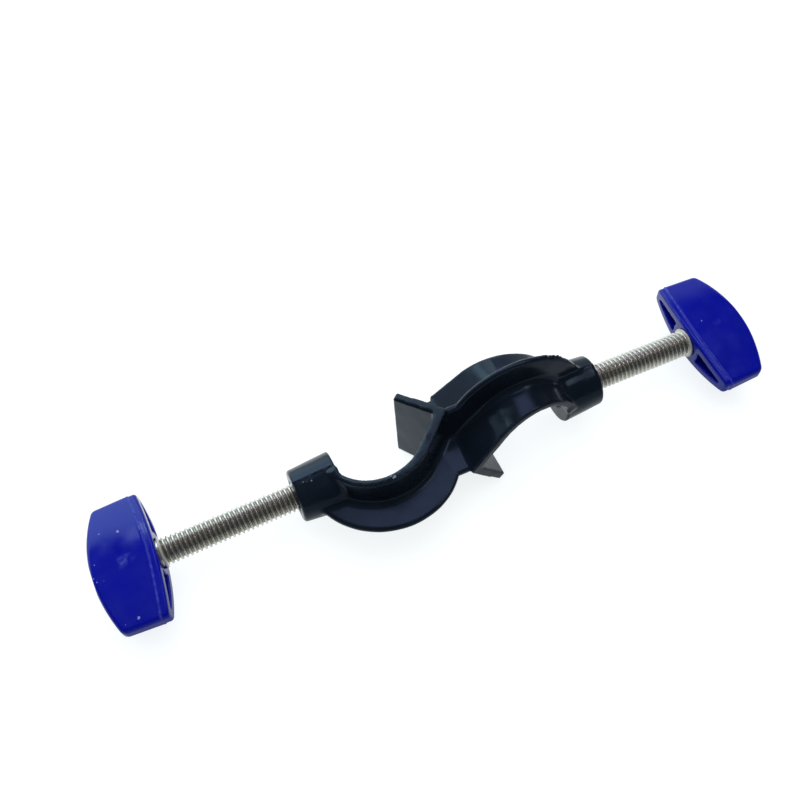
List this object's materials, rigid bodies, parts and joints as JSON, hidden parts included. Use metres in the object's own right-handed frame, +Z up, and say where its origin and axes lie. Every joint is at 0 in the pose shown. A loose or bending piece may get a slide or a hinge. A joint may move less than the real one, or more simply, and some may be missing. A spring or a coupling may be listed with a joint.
{
  "type": "boss head clamp",
  "caption": "Crossed-jaw rod clamp for lab stands: a cast body with V jaws at right angles, closed by thumbscrews with plastic wing knobs.",
  "frame": {"origin": "where the upright rod's axis crosses the screw axis, in the left jaw", "axes": "+X along both screws, from the left knob to the right one; +Z up along the upright rod; the cross rod lies along Y"},
  "size_m": [0.1501, 0.0309, 0.0272],
  "materials": {
    "dark_enamel": "glossy stoved enamel on a casting",
    "zinc_steel": "bright zinc plate on a rolled thread",
    "blue_plastic": "glossy moulded plastic"
  },
  "bodies": {
    "casting": {"casting": "dark_enamel"},
    "left_screw": {"left_screw": "zinc_steel"},
    "left_knob": {"left_knob": "blue_plastic"},
    "right_screw": {"right_screw": "zinc_steel"},
    "right_knob": {"right_knob": "blue_plastic"}
  },
  "joints": [
    {"name": "left_feed", "type": "slide", "parent": "casting", "child": "left_screw", "axis": [0.9998, 0.014, 0.014], "range_m": [0, 0.0235]},
    {"name": "left_turn", "type": "hinge", "parent": "left_screw", "child": "left_knob", "pos_m": [-0.04749, -0.0004, -0.0004], "axis": [0.9998, 0.014, 0.014], "range_deg": [0, 8460]},
    {"name": "right_feed", "type": "slide", "parent": "casting", "child": "right_screw", "axis": [-1, 0, 0], "range_m": [0, 0.0187]},
    {"name": "right_turn", "type": "hinge", "parent": "right_screw", "child": "right_knob", "pos_m": [0.0747, 0, 0], "axis": [-1, 0, 0], "range_deg": [0, 6732]}
  ],
  "couplings": [
    {"joint": "left_feed", "follows": "left_turn", "m_per_rad": 0.00015915},
    {"joint": "right_feed", "follows": "right_turn", "m_per_rad": 0.00015915}
  ]
}
